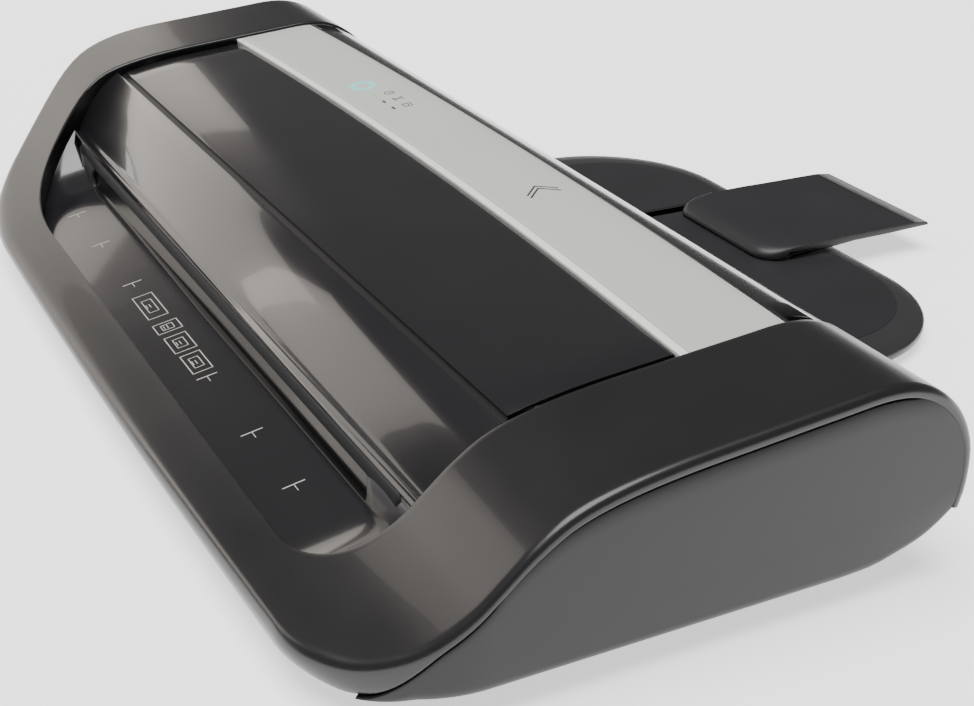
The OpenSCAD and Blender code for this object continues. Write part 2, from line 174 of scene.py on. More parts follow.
def moulded_plastic(name, colour, dust, roughness, grain_mm, depth_mm, coat=0.0, ior=1.5, spread=0.05):
    """Injection-moulded ABS: an even colour, a faint cloud in the gloss, and the tool's grain."""
    material, tree, shader, place = new_material(name)
    cloud = add(tree, "ShaderNodeTexNoise", {"Scale": per_mm(38), "Detail": 3}, {"Vector": place})
    grain = add(tree, "ShaderNodeTexNoise", {"Scale": per_mm(grain_mm), "Detail": 2}, {"Vector": place})
    tone = add(tree, "ShaderNodeMix", {"data_type": "RGBA", LOW: linear(colour), HIGH: linear(dust)},
               {FACTOR: cloud.outputs["Fac"]})
    gloss = add(tree, "ShaderNodeMapRange", {"To Min": roughness - spread, "To Max": roughness + spread},
                {"Value": cloud.outputs["Fac"]})
    bump = add(tree, "ShaderNodeBump", {"Strength": 1.0, "Distance": depth_mm * MM},
               {"Height": grain.outputs["Fac"]})
    tree.links.new(tone.outputs[RESULT], shader.inputs["Base Color"])
    tree.links.new(gloss.outputs["Result"], shader.inputs["Roughness"])
    tree.links.new(bump.outputs["Normal"], shader.inputs["Normal"])
    shader.inputs["IOR"].default_value = ior
    shader.inputs["Coat Weight"].default_value = coat
    shader.inputs["Coat Roughness"].default_value = 0.04
    return material


def polished_metal(name, colour, tint, roughness, line_mm, stretch, depth_mm):
    """Metal with fine lines along one direction: stretch is how much longer they are on each axis."""
    material, tree, shader, place = new_material(name)
    turned = add(tree, "ShaderNodeMapping", {"Scale": stretch}, {"Vector": place})
    lines = add(tree, "ShaderNodeTexNoise", {"Scale": per_mm(line_mm), "Detail": 4},
                {"Vector": turned.outputs["Vector"]})
    tone = add(tree, "ShaderNodeMix", {"data_type": "RGBA", LOW: linear(colour), HIGH: linear(tint)},
               {FACTOR: lines.outputs["Fac"]})
    gloss = add(tree, "ShaderNodeMapRange", {"To Min": roughness - 0.08, "To Max": roughness + 0.1},
                {"Value": lines.outputs["Fac"]})
    bump = add(tree, "ShaderNodeBump", {"Strength": 0.6, "Distance": depth_mm * MM},
               {"Height": lines.outputs["Fac"]})
    shader.inputs["Metallic"].default_value = 1.0
    tree.links.new(tone.outputs[RESULT], shader.inputs["Base Color"])
    tree.links.new(gloss.outputs["Result"], shader.inputs["Roughness"])
    tree.links.new(bump.outputs["Normal"], shader.inputs["Normal"])
    return material


def lamp_plastic(name, colour, glow, strength):
    """Translucent acrylic light guide: milky, and lit a little unevenly from below."""
    material, tree, shader, place = new_material(name)
    milk = add(tree, "ShaderNodeTexNoise", {"Scale": per_mm(1.5), "Detail": 2}, {"Vector": place})
    for low, high, socket in ((colour, glow, "Base Color"), (glow, colour, "Emission Color")):
        tone = add(tree, "ShaderNodeMix", {"data_type": "RGBA", LOW: linear(low), HIGH: linear(high)},
                   {FACTOR: milk.outputs["Fac"]})
        tree.links.new(tone.outputs[RESULT], shader.inputs[socket])
    shader.inputs["Emission Strength"].default_value = strength
    shader.inputs["Roughness"].default_value = 0.3
    return material


# black ABS in a semi-gloss mould: it turns lamps into broad soft sheens, with a very faint orange peel
GLOSS_BLACK_ABS = moulded_plastic("gloss_black_abs", "#1b1a1c", "#201f21", 0.3, 9, 0.004, coat=0.15)
# the covers and tray are polished further, so reflections keep an edge
GLOSS_GREY_ABS = moulded_plastic("polished_grey_abs", "#1e1d20", "#232224", 0.17, 9, 0.004, coat=0.5)
# spark-eroded ABS: a fine even grain that turns the light into one soft sheen (grain drawn at 0.5 mm)
MATT_ABS = moulded_plastic("matt_textured_abs", "#171618", "#1c1b1d", 0.36, 0.5, 0.006, ior=1.45)
# satin black ABS inside the mouth and under the machine: nearly no highlight
SATIN_BLACK_ABS = moulded_plastic("satin_black_abs", "#0d0d0f", "#141416", 0.42, 0.8, 0.02)
# the dark strip over the mouth: duller than its neighbours, so it stays darker than they do
SATIN_GREY_ABS = moulded_plastic("satin_grey_abs", "#222224", "#28282a", 0.66, 0.8, 0.006, ior=1.4)
# textured ABS of the exit tray: dull top with a fine leather-like grain
TRAY_ABS = moulded_plastic("grained_tray_abs", "#1d1c1f", "#232225", 0.45, 0.9, 0.01)
# the same plastic left satin on the tray's rim and the tongue's lip: a smoother edge, made paler as a painted
# highlight along it
RIM_ABS_PAINTED_HIGHLIGHT = moulded_plastic("satin_rim_painted_highlight", "#2c2b2d", "#323133", 0.3, 0.8, 0.006)
# guide sheets in matt black with a fine sandy texture: painted shade, darkened so that the inside of the mouth
# reads as shadow
SHADE_BLACK_SHEET = moulded_plastic("shade_black_guide_sheet", "#070707", "#0c0c0c", 0.85, 0.4, 0.01, ior=1.3)
# near-black lining of the mouth: painted shade, a sheet that stands in for the shadow inside the slot so that it
# stays black. Its IOR and those of the guide sheets and the strip are below what such materials have, to keep
# their sheen down
PAINTED_SHADE_LINING = moulded_plastic("painted_shade_lining", "#040404", "#070707", 0.95, 0.3, 0.02, ior=1.05,
                                spread=0.02)
# the mouth's surround: satin grey, so that it reads against the black slot
BEZEL_ABS = moulded_plastic("satin_bezel_abs", "#474648", "#504f50", 0.3, 9, 0.004, coat=0.2)
# natural rubber feet: dead matt and slightly dusty
FOOT_RUBBER = moulded_plastic("moulded_rubber", "#19191a", "#242425", 0.8, 1.2, 0.05, spread=0.06)
# silicone sleeves, ground round: brick red, with a dry bloom
SILICONE = moulded_plastic("ground_silicone", "#7a3428", "#8d4536", 0.62, 0.6, 0.03)
# ground nitrile rubber on the rear rollers: dull mid grey
ROLLER_RUBBER = moulded_plastic("ground_nitrile", "#39393c", "#454548", 0.66, 0.6, 0.03)
# moulded nylon gears: waxy cream
NYLON = moulded_plastic("moulded_nylon", "#cfcab8", "#ddd9ca", 0.42, 1.5, 0.01)
# circuit board: green solder mask with a weave that shows faintly through it
BOARD = moulded_plastic("solder_mask", "#14512f", "#1c6039", 0.3, 0.7, 0.01)
# zinc-plated sheet: cool grey with rolling lines along X
ZINC_SHEET = polished_metal("zinc_plated_sheet", "#9fa4a8", "#b7bbbe", 0.38, 2.0, (0.1, 1, 1), 0.01)
# ground steel shafts: fine rings round the axis, so the noise is squeezed along X
GROUND_STEEL = polished_metal("ground_steel", "#aeb1b4", "#c3c6c8", 0.22, 1.5, (1, 0.1, 0.1), 0.004)
# extruded aluminium heater plates: draw lines along X
EXTRUDED_ALUMINIUM = polished_metal("extruded_aluminium", "#a9abae", "#c2c4c6", 0.36, 1.6, (0.05, 1, 1), 0.01)
# sintered bronze bushes
SINTERED_BRONZE = polished_metal("sintered_bronze", "#8a6a3a", "#a07f4a", 0.5, 0.6, (1, 1, 1), 0.02)
# milky acrylic lit from below: a turquoise ring, and one green light beside two unlit lenses
LIT_RING = lamp_plastic("lit_acrylic_ring", "#8fe3df", "#66d9d6", 0.55)
LIT_GREEN = lamp_plastic("lit_green_lens", "#9db87a", "#8fc463", 0.4)
DARK_LENS = moulded_plastic("unlit_lens", "#3c4034", "#474a3e", 0.3, 1, 0.004)
# pad-printed ink: thin and slightly uneven
DARK_INK = moulded_plastic("dark_ink", "#2c2d2c", "#3a3b3a", 0.55, 0.5, 0.004)
PALE_INK = moulded_plastic("pale_ink", "#b9b6ae", "#cfccc4", 0.5, 0.5, 0.004)
# in-mould painted strip: bright white satin bevel
WHITE_BEVEL = moulded_plastic("white_satin_bevel", "#f4f5f1", "#fbfbf8", 0.28, 6, 0.004)


def make_panel_material(centre, ring_radius):
    """Pale grey satin ABS with a painted glow: its colour turns turquoise round the lit ring, standing in for
    the ring's light.
    """
    material, tree, shader, place = new_material("pale_satin_abs_painted_glow")
    cloud = add(tree, "ShaderNodeTexNoise", {"Scale": per_mm(60), "Detail": 3}, {"Vector": place})
    grain = add(tree, "ShaderNodeTexNoise", {"Scale": per_mm(0.6), "Detail": 2}, {"Vector": place})
    away = add(tree, "ShaderNodeVectorMath", {"operation": "DISTANCE", 1: centre}, {0: place})
    # the painted glow's mask: 1 on the ring itself, falling to 0 a few millimetres to either side of it
    off_ring = add(tree, "ShaderNodeMath", {"operation": "SUBTRACT", 1: ring_radius},
                   {0: away.outputs["Value"]})
    size = add(tree, "ShaderNodeMath", {"operation": "ABSOLUTE"}, {0: off_ring.outputs[0]})
    painted_ring_glow = add(tree, "ShaderNodeMapRange", {"interpolation_type": "SMOOTHERSTEP", "From Min": 0.0,
                                            "From Max": 4.2 * MM, "To Min": 0.75, "To Max": 0.0},
               {"Value": size.outputs[0]})
    base = add(tree, "ShaderNodeMix", {"data_type": "RGBA", LOW: linear("#c2c5bd"), HIGH: linear("#c9ccc5")},
               {FACTOR: cloud.outputs["Fac"]})
    tone = add(tree, "ShaderNodeMix", {"data_type": "RGBA", HIGH: linear("#9fe0dc")},
               {FACTOR: painted_ring_glow.outputs["Result"], LOW: base.outputs[RESULT]})
    tree.links.new(tone.outputs[RESULT], shader.inputs["Base Color"])
    bump = add(tree, "ShaderNodeBump", {"Strength": 1.0, "Distance": 0.006 * MM},
               {"Height": grain.outputs["Fac"]})
    tree.links.new(bump.outputs["Normal"], shader.inputs["Normal"])
    shader.inputs["Roughness"].default_value = 0.42
    return material


# ---- building --------------------------------------------------------------

def smooth_line(points, steps=8):
    """A smooth curve through the points, with this many steps from one to the next."""
    ends = [points[0]] + list(points) + [points[-1]]
    line = []
    for a, b, c, d in zip(ends, ends[1:], ends[2:], ends[3:]):
        a, b, c, d = (Vector(p) for p in (a, b, c, d))
        for k in range(steps):
            t = k / steps
            line.append(0.5 * (2 * b + t * (c - a) + t * t * (2 * a - 5 * b + 4 * c - d)
                               + t ** 3 * (3 * b - a - 3 * c + d)))
    return line + [Vector(points[-1])]


SIDE_LINE = smooth_line(SIDE)


def inward(line, i):
    """The unit normal that points into the machine from a line's point i."""
    ahead = (line[min(i + 1, len(line) - 1)] - line[max(i - 1, 0)]).normalized()
    return Vector((ahead.y, -ahead.x))


def point_on(line, y):
    """The (y, z) point and the inward normal where a line first reaches y."""
    for i in range(len(line) - 1):
        a, b = line[i], line[i + 1]
        if a.x <= y <= b.x:
            t = (y - a.x) / (b.x - a.x)
            return a.lerp(b, t), inward(line, i).lerp(inward(line, i + 1), t).normalized()
    return line[0].copy(), inward(line, 0)


def height(y):
    """Height of the casing's top over y; in front of the lip's flat it carries on in a straight line."""
    if y < SIDE[0][0]:
        return SIDE[0][1] - 0.21 * (SIDE[0][0] - y)
    return point_on(SIDE_LINE, y)[0].y


def smooth_step(low, high, value):
    t = min(max((value - low) / (high - low), 0), 1)
    return t * t * (3 - 2 * t)


def sweep(bm, sections, capped=True):
    """Carries the first section's closed loop of edges through the others, and caps both ends."""
    verts = [bm.verts.new(p) for p in sections[0]]
    edges = [bm.edges.new(pair) for pair in zip(verts, verts[1:] + verts[:1])]
    first = list(verts)
    for section in sections[1:]:
        made = bmesh.ops.extrude_edge_only(bm, edges=edges)["geom"]
        new_verts = {v for v in made if isinstance(v, bmesh.types.BMVert)}
        edges = [e for e in made if isinstance(e, bmesh.types.BMEdge)
                 and e.verts[0] in new_verts and e.verts[1] in new_verts]
        following = []
        for old in verts:
            following.append(next(e.other_vert(old) for e in old.link_edges if e.other_vert(old) in new_verts))
        verts = following
        for vert, place in zip(verts, section):
            vert.co = place
    if capped:
        bmesh.ops.contextual_create(bm, geom=first)
        bmesh.ops.contextual_create(bm, geom=verts)


def soften(bm, width, limit=38, segments=2):
    """Rounds the sharp edges, as a moulding's are."""
    sharp = [e for e in bm.edges if e.is_manifold and e.calc_face_angle(0) > math.radians(limit)]
    bmesh.ops.bevel(bm, geom=sharp, offset=width, segments=segments, profile=0.5, affect="EDGES",
                    material=-1, clamp_overlap=True)


def finish_piece(bm, name, body, material, nodes=(), sharp=42):
    """Moves a mesh from millimetres into the frame, gives it its finish and its body."""
    bmesh.ops.remove_doubles(bm, verts=bm.verts, dist=0.0005)
    bmesh.ops.dissolve_degenerate(bm, edges=bm.edges, dist=0.0005)
    bmesh.ops.recalc_face_normals(bm, faces=bm.faces)
    bmesh.ops.transform(bm, matrix=Matrix.Translation((0, NOSE_Y, 0)) @ Matrix.Scale(MM, 4), verts=bm.verts)
    for face in bm.faces:
        face.smooth = True
    for edge in bm.edges:
        edge.smooth = not edge.is_manifold or edge.calc_face_angle(0) < math.radians(sharp)
    mesh = bpy.data.meshes.new(name)
    bm.to_mesh(mesh)
    bm.free()
    piece = bpy.data.objects.new(name, mesh)
    bpy.context.scene.collection.objects.link(piece)
    mesh.materials.append(material)
    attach(piece, body)
    if nodes:
        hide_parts(*nodes)
    return piece


def steps_between(low, high, count):
    return [low + (high - low) * k / (count - 1) for k in range(count)]


# ---- casing ----------------------------------------------------------------

EDGE_R = 3.2
SKIRT = 4.3
GROOVE = 0.7


def bow(x, depth=BOW):
    """How far the front edge lies back from the nose at x: nothing in the middle, most at the corners."""
    return depth * (min(abs(x), BODY_X - CORNER_R) / (BODY_X - CORNER_R)) ** 2


# (depth from the edge, drop below the top) of the lip, rolling under the nose
LIP_EDGE = [(6, 0.1), (4, 0.4), (2.8, 0.85), (1.7, 1.6), (0.8, 2.5), (0.2, 3.4), (0, 4.3), (0.15, 5.3),
            (0.6, 6.4), (1.6, 7.6), (3.2, 8.6), (5.2, 9.2), (8, 9.3)]
# the same for the end bands: a small round edge and a short skirt down to the groove
END_EDGE = [(6, 0), (4, 0), (EDGE_R, 0), (2.2, 0.16), (1.3, 0.62), (0.6, 1.35), (0.15, 2.3), (0, EDGE_R),
            (0, 3.5), (0, 3.8), (0.05, 4.1), (0.25, SKIRT), (0.6, SKIRT)]


def turned(y):
    """How far round the right front corner y lies, from the nose (0 degrees) to the side (90)."""
    return math.degrees(math.acos(min(max(1 - (y - BOW) / CORNER_R, 0), 1)))


def skirt_at(y, top):
    """Depth of the skirt, which reaches the floor at the nose and is short along the sides."""
    full = top - FLOOR_Z
    return full + (SKIRT - full) * smooth_step(34, 74, turned(y))


def opening_half(side, y):
    """Half width of the casing's opening on one side, at y."""
    start, width, depth = CORNERS[side][1]
    rise = LIP_Y + depth - y
    return OPEN_X if rise <= 0 else start + width * math.sqrt(max(1 - (rise / depth) ** 2, 0))


def corner_plan(side, angle):
    """Plan points of the casing's edge and its opening round a front corner, and the way out."""
    start, width, depth = CORNERS[side][0]
    a = math.radians(angle)
    nose = bow(start)
    outer = Vector((start + width * math.sin(a), nose + depth * (1 - math.cos(a))))
    inner_y = LIP_Y + (nose + depth - LIP_Y) * (1 - math.cos(a))
    out = Vector((math.sin(a) / width, -math.cos(a) / depth)).normalized()
    return outer, Vector((opening_half(side, inner_y), inner_y)), out


def band_section(outer, inner, base, down):
    """One cut through the band, from its inner wall over the top and round the outer edge.

    outer and inner are the plan points, base(y) gives height, down(y) the way into the machine."""
    across = (inner - outer)
    width = across.length
    across.normalize()
    roll = smooth_step(8, 60, turned(outer.y))
    section = []

    def put(depth, drop):
        plan = outer + across * depth
        y, z = base(plan.y)
        way = down(plan.y)
        section.append(Vector((plan.x, y + way.x * drop, z + way.y * drop)))

    top = base(outer.y)[1]
    skirt = skirt_at(outer.y, top)
    deep = max(min(base(inner.y)[1] - 12.6, 44), 8) * (1 - smooth_step(95, 150, inner.y))
    deep += 11 * smooth_step(95, 150, inner.y)
    put(width - 1.2, deep)
    put(width, deep)
    for share in (0.66, 0.33):
        put(width, deep * share)
    put(width, 1.4)
    put(width, 0.9)
    put(width - 0.25, 0.3)
    put(width - 0.9, 0)
    for share in (0.94, 0.85, 0.72, 0.58, 0.44, 0.3, 0.2):
        put(6 + (width - 6) * share, 0)
    outside = []
    for (lip_depth, lip_drop), (end_depth, end_drop) in zip(LIP_EDGE, END_EDGE):
        depth = lip_depth + (end_depth - lip_depth) * roll
        drop = lip_drop + (end_drop - lip_drop) * roll
        shape = LIP_EDGE[-1][1] + (SKIRT - LIP_EDGE[-1][1]) * roll
        if drop > EDGE_R:
            drop = EDGE_R + (drop - EDGE_R) * (skirt - EDGE_R) / max(shape - EDGE_R, 0.1)
        outside.append((depth, drop))
    for depth, drop in outside:
        put(depth, drop)
    last_depth, last_drop = outside[-1]
    put(last_depth + WALL - 0.6, last_drop)
    put(max(last_depth, WALL) + 1.5, max(last_drop - 1, WALL))
    put(max(last_depth, WALL) + 4, WALL)
    for share in (0.3, 0.6, 0.9):
        put(9 + (width - 9) * share, WALL)
    put(width - 1.2, WALL + 0.6)
    return section


def vertical(_):
    return Vector((0, -1))


def band_half(side):
    """Sections of one half of the band, from the middle of the lip to the lower back, as if on the right."""
    start, inner_start = CORNERS[side][0][0], CORNERS[side][1][0]
    sections = []
    for share in steps_between(0, 1, 13):
        outer = Vector((start * share, bow(start * share)))
        inner = Vector((inner_start * share, LIP_Y))
        sections.append(band_section(outer, inner, lambda y: (y, height(y)), vertical))
    for angle in steps_between(0, 90, 33)[1:]:
        outer, inner, _ = corner_plan(side, angle)
        sections.append(band_section(outer, inner, lambda y: (y, height(y)), vertical))
    corner_end = outer.y
    for i, p in enumerate(SIDE_LINE):
        if p.y > 52 and p.x < corner_end + 2 or p.y <= 52 and p.x < 100:
            continue
        lean = smooth_step(corner_end, corner_end + 75, p.x if p.y > 30 else BODY_Y)
        way = (Vector((0, -1)) * (1 - lean) + inward(SIDE_LINE, i) * lean).normalized()
        outer, inner = Vector((BODY_X, p.x)), Vector((OPEN_X, p.x))
        sections.append(band_section(outer, inner, lambda y, p=p: (p.x, p.y), lambda y, w=way: w))
    return sections


def mirrored(section):
    return [Vector((-p.x, p.y, p.z)) for p in section]


def make_casing():
    bm = bmesh.new()
    sweep(bm, [mirrored(s) for s in reversed(band_half(-1)[1:])] + band_half(1))
    finish_piece(bm, "wrap_round_casing", "machine", GLOSS_BLACK_ABS, ["casing"], sharp=50)


# ---- end panels ------------------------------------------------------------

UPSWEEP = [(190, FLOOR_Z), (204, FLOOR_Z + 0.8), (214, FLOOR_Z + 3.2), (226, 17.2), (236, 24), (241, 29)]
UPSWEEP_LINE = smooth_line(UPSWEEP)


def panel_floor(y):
    return FLOOR_Z if y < UPSWEEP[0][0] else point_on(UPSWEEP_LINE, y)[0].y


def panel_column(plan, out, top, bottom):
    """A closed cut through the panel, standing at a plan point; out is its outward direction."""
    tall = top - bottom
    tuck = min(5, tall * 0.45)
    skin = [(-3.5, top), (-0.9, top), (-0.35, top - 0.1), (-0.1, top - 0.4)]
    skin += [(0, top - 0.12 * tall - 0.3), (0, top - 0.35 * tall), (0, bottom + 0.5 * tuck + 0.25 * tall)]
    skin += [(-tuck * (1 - math.cos(math.radians(a))), bottom + tuck * (1 - math.sin(math.radians(a))))
             for a in (0, 15, 30, 45, 60, 75, 90)]
    skin += [(-8, bottom), (-8, bottom + min(1.6, 0.3 * tall)), (-tuck - 1, bottom + min(2.2, 0.4 * tall)),
             (-3.5, bottom + min(tuck + 1, 0.6 * tall))]
    return [Vector((plan.x + out.x * d, plan.y + out.y * d, z)) for d, z in skin]


def make_end_panel(side, name):
    columns = []
    for angle in steps_between(0, 90, 46):
        plan, _, out = corner_plan(side, angle)
        if turned(plan.y) < 40:
            continue
        top = height(plan.y) - skirt_at(plan.y, height(plan.y)) - GROOVE
        columns.append(panel_column(plan - 0.2 * out, out, max(top, FLOOR_Z + 0.4), FLOOR_Z))
    for y in steps_between(plan.y + 4, 212, 34):
        top, normal = point_on(SIDE_LINE, y)
        columns.append(panel_column(Vector((BODY_X - 0.2, y)), out, top.y + normal.y * (SKIRT + GROOVE),
                                    panel_floor(y)))
    for i, p in enumerate(SIDE_LINE):
        edge = p + inward(SIDE_LINE, i) * (2.4 + 2.6 * (1 - smooth_step(206, 232, p.x)))
        if edge.x > 213 and p.y > 44:
            columns.append(panel_column(Vector((BODY_X - 0.2, edge.x)), out, edge.y, panel_floor(edge.x)))
    bm = bmesh.new()
    sweep(bm, columns if side > 0 else [mirrored(c) for c in columns])
    finish_piece(bm, f"matt_end_panel_{name}", "machine", MATT_ABS,
                 [f"end_panel_{name}"], sharp=50)


def make_base():
    """Flat underside with the casing's plan, and the upswept wall behind it."""
    inset, thick = 8, 2
    edge = []
    for side in (1, -1):
        half = [plan - inset * out for plan, _, out in (corner_plan(side, a) for a in steps_between(0, 90, 24))]
        half.append(Vector((BODY_X - inset, UPSWEEP[0][0])))
        edge += half if side > 0 else [Vector((-p.x, p.y)) for p in reversed(half)]
    bm = bmesh.new()
    sweep(bm, [[Vector((p.x, p.y, z)) for p in edge] for z in (FLOOR_Z + 0.1, FLOOR_Z + thick)])
    finish_piece(bm, "base_plate", "machine", SATIN_BLACK_ABS, ["base_shell"])

    # the wall stands clear of the tongue's way in
    wall = [(188, FLOOR_Z + 0.1), (208, FLOOR_Z + 0.1), (225.5, 14.9), (239, 26), (237, 27.8), (224, 17.4),
            (207.4, FLOOR_Z + thick), (188, FLOOR_Z + thick)]
    tongue_way = node_span("exit_tongue")[1].x + 2
    for side, name in ((1, "right"), (-1, "left")):
        bm = bmesh.new()
        sweep(bm, [[Vector((side * x, y, z)) for y, z in wall] for x in (tongue_way, BODY_X - inset)])
        finish_piece(bm, f"upswept_back_{name}", "machine", SATIN_BLACK_ABS)


# ---- covers ----------------------------------------------------------------

def skin_outline(depth, thick, y0, y1, count):
    """Closed outline of a cover that follows the side view between two values of y."""
    outer, under = [], []
    for y in steps_between(y0, y1, count):
        p, normal = point_on(SIDE_LINE, y)
        outer.append(p + normal * depth)
        under.append(p + normal * (depth + thick))
    return outer + under[::-1]


def across_machine(outline_at, half, count=25):
    """Sections over the width of the machine; outline_at(x) gives the (y, z) outline there."""
    return [[Vector((x, p[0], p[1])) for p in outline_at(x)] for x in steps_between(-half, half, count)]


def middle(x):
    """1 in the middle of the machine, 0 at the ends of the covers."""
    return 1 - (x / COVER_X) ** 2


def strip_front(x):
    return 158 + 6.5 * middle(x)


def trim_front(x):
    return 203 + 7 * middle(x)


STRIP_W = 3.6
END_GAP = 4.5
COVER_T = 2.5
COVER_SEAT = 2.5        # how far the upper cover lies below the casing's line
PANEL_SEAT = 1.3        # the same for the bevel strip and the control panel
SEAM_Y = node_span("upper_cover")[0].y + 5.6


def make_covers():
    front = [(61.3, 37.0), (61.5, 37.5), (63.2, 38.9)]
    front += [tuple(p) for p in smooth_line([(63.6, 39.5), (66, 43.2), (72, 51.4), (80, 60.6), (89, 67.4)], 5)]
    back = [(90.4, 65.6), (81.6, 58.8), (74, 50), (68.4, 42), (65.6, 37.0)]
    bm = bmesh.new()
    sweep(bm, across_machine(lambda x: front + back, COVER_X - 1.4, 3))
    soften(bm, 0.35, 30)
    finish_piece(bm, "gloss_front_cover", "machine", GLOSS_GREY_ABS, ["front_cover"])

    bm = bmesh.new()
    sweep(bm, across_machine(lambda x: skin_outline(COVER_SEAT, COVER_T, SEAM_Y, strip_front(x) - 0.35, 22),
                             COVER_X - END_GAP))
    soften(bm, 0.35, 60)
    finish_piece(bm, "gloss_upper_cover", "machine", GLOSS_GREY_ABS, ["upper_cover"])

    bm = bmesh.new()
    step = [(87.4, 62.4), (88.4, 60.4), (97, 65.0), (98, 67), (92.6, 65.2), (90.8, 64)]
    sweep(bm, across_machine(lambda x: step, COVER_X - 0.2, 3))
    # closes the gap at both ends of the upper cover
    for side in (1, -1):
        shelf = skin_outline(6.5, 1, 100, 157, 12)
        sweep(bm, [[Vector((side * x, p.x, p.y)) for p in shelf] for x in (COVER_X - 14, COVER_X - 0.2)])
    finish_piece(bm, "seam_floor", "machine", SATIN_BLACK_ABS)

    bm = bmesh.new()
    sweep(bm, across_machine(lambda x: skin_outline(PANEL_SEAT, COVER_T, strip_front(x),
                                                    strip_front(x) + STRIP_W, 4), COVER_X))
    soften(bm, 0.3, 60)
    finish_piece(bm, "white_bevel_strip", "machine", WHITE_BEVEL, ["panel_edge_strip"])


RING_R = 5.3
ARROW_TIPS, ARROW_Y, ARROW_ARM = (61.5, 64.5), 190, (7, 7.2)


def panel_point(x, y, lift=0.0):
    """A point on the control panel's face."""
    p, normal = point_on(SIDE_LINE, y)
    p = p + normal * (PANEL_SEAT - lift)
    return Vector((x, p.x, p.y))


def make_control_panel():
    ring_low, ring_high = node_span("power_light_ring")
    centre = (ring_low + ring_high) / 2
    ring = panel_point(centre.x, centre.y)
    bm = bmesh.new()
    sweep(bm, across_machine(lambda x: skin_outline(PANEL_SEAT, COVER_T, strip_front(x) + STRIP_W + 0.12,
                                                    trim_front(x) - 0.4, 14), COVER_X))
    soften(bm, 0.35, 60)
    # centre of the glow painted into the panel's colour round the ring
    painted_glow_centre = (ring.x * MM, ring.y * MM + NOSE_Y, ring.z * MM)
    finish_piece(bm, "touch_control_panel", "machine",
                 make_panel_material(painted_glow_centre, RING_R * MM), ["control_panel"])
    return ring


def printed_line(bm, points, width, to_surface, closed=False, lift=0.06):
    """A thin raised line of ink along (x, y) points, laid on a surface."""
    for a, b in zip(points, points[1:] + (points[:1] if closed else [])):
        a, b = Vector(a), Vector(b)
        along = (b - a).normalized() * width / 2
        side = Vector((-along.y, along.x))
        corners = [a - along + side, a - along - side, b + along - side, b + along + side]
        low = [bm.verts.new(to_surface(p.x, p.y, -0.1)) for p in corners]
        face = bm.faces.new(low)
        made = bmesh.ops.extrude_face_region(bm, geom=[face])["geom"]
        top = [v for v in made if isinstance(v, bmesh.types.BMVert)]
        for vert in top:
            vert.co = to_surface(vert.co.x, vert.co.y, lift)


def circle_points(x, y, radius, count=28):
    return [(x + radius * math.cos(math.tau * k / count), y + radius * math.sin(math.tau * k / count))
            for k in range(count)]


def make_panel_signs(ring):
    bm = bmesh.new()
    printed_line(bm, circle_points(ring.x, ring.y, RING_R, 40), 0.9, panel_point, closed=True)
    finish_piece(bm, "power_ring", "machine", LIT_RING, ["power_light_ring"])

    lights_low, lights_high = node_span("status_lights")
    light_y = (lights_low.y + lights_high.y) / 2
    first, last = lights_low.x + 1.2, lights_high.x - 1.2
    light_x = [first, (first + last) / 2, last]
    for i, x in enumerate(light_x):
        bm = bmesh.new()
        printed_line(bm, [(x - 1.3, light_y), (x + 1.3, light_y)], 1.2, panel_point)
        piece = finish_piece(bm, f"status_light_{i}", "machine", DARK_LENS if i else LIT_GREEN)
        if not i:
            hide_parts("status_lights")

    sign_y = light_y + 7.6
    bm = bmesh.new()
    # a clock, a sand glass and a sheet with a crease, all plain line drawings
    x = light_x[0] + 0.6
    printed_line(bm, circle_points(x, sign_y, 2.3, 20), 0.45, panel_point, closed=True)
    printed_line(bm, [(x, sign_y + 1.5), (x, sign_y), (x + 1.2, sign_y)], 0.4, panel_point)
    x = light_x[1]
    printed_line(bm, [(x - 1.7, sign_y + 2.2), (x + 1.7, sign_y + 2.2), (x - 1.7, sign_y - 2.2),
                      (x + 1.7, sign_y - 2.2)], 0.45, panel_point, closed=True)
    x = light_x[2]
    printed_line(bm, [(x - 2.2, sign_y - 2), (x - 2.2, sign_y + 2), (x + 2.2, sign_y + 2),
                      (x + 2.2, sign_y - 2)], 0.45, panel_point, closed=True)
    printed_line(bm, [(x - 2.2, sign_y - 0.4), (x, sign_y + 0.6), (x + 2.2, sign_y - 0.4)], 0.4, panel_point)
    # double arrow that points to the power spot
    long, wide = ARROW_ARM
    for tip in ARROW_TIPS:
        printed_line(bm, [(tip + long, ARROW_Y - wide), (tip, ARROW_Y), (tip + long, ARROW_Y + wide)], 0.9,
                     panel_point)
    finish_piece(bm, "panel_signs", "machine", DARK_INK)


def make_rear_trim():
    """Rounded trim behind the panel, down to the rear panel."""
    bottom = node_span("rear_cover")[0].z
    last = max(i for i, p in enumerate(SIDE_LINE) if p.y > bottom + 1)

    def outline(x):
        start = trim_front(x)
        line = [point_on(SIDE_LINE, y)[0] for y in steps_between(start, 216, 8)]
        normals = [point_on(SIDE_LINE, y)[1] for y in steps_between(start, 216, 8)]
        for i, p in enumerate(SIDE_LINE[:last + 1]):
            if p.x > 217 and p.y < 81:
                line.append(p)
                normals.append(inward(SIDE_LINE, i))
        outer = [p + n * 1.0 for p, n in zip(line, normals)]
        under = [p + n * 3.5 for p, n in zip(line, normals)]
        return outer + under[::-1]

    bm = bmesh.new()
    sweep(bm, across_machine(outline, COVER_X))
    soften(bm, 0.4, 60)
    finish_piece(bm, "rear_trim", "machine", GLOSS_GREY_ABS, ["rear_cover"])


# ---- tray and mouth --------------------------------------------------------

GUIDE_MARKS_X = (148.5, 105, 52.5)      # half the widths of A3, A4 and A6
# left, right, front and back of each outlined box on the tray
PICTOGRAMS = ((-37, -12, 38.2, 47.2), (-5, 4.5, 37.6, 48.4), (9.5, 25.5, 38.2, 47.8), (29.5, 47, 38.8, 47.4))
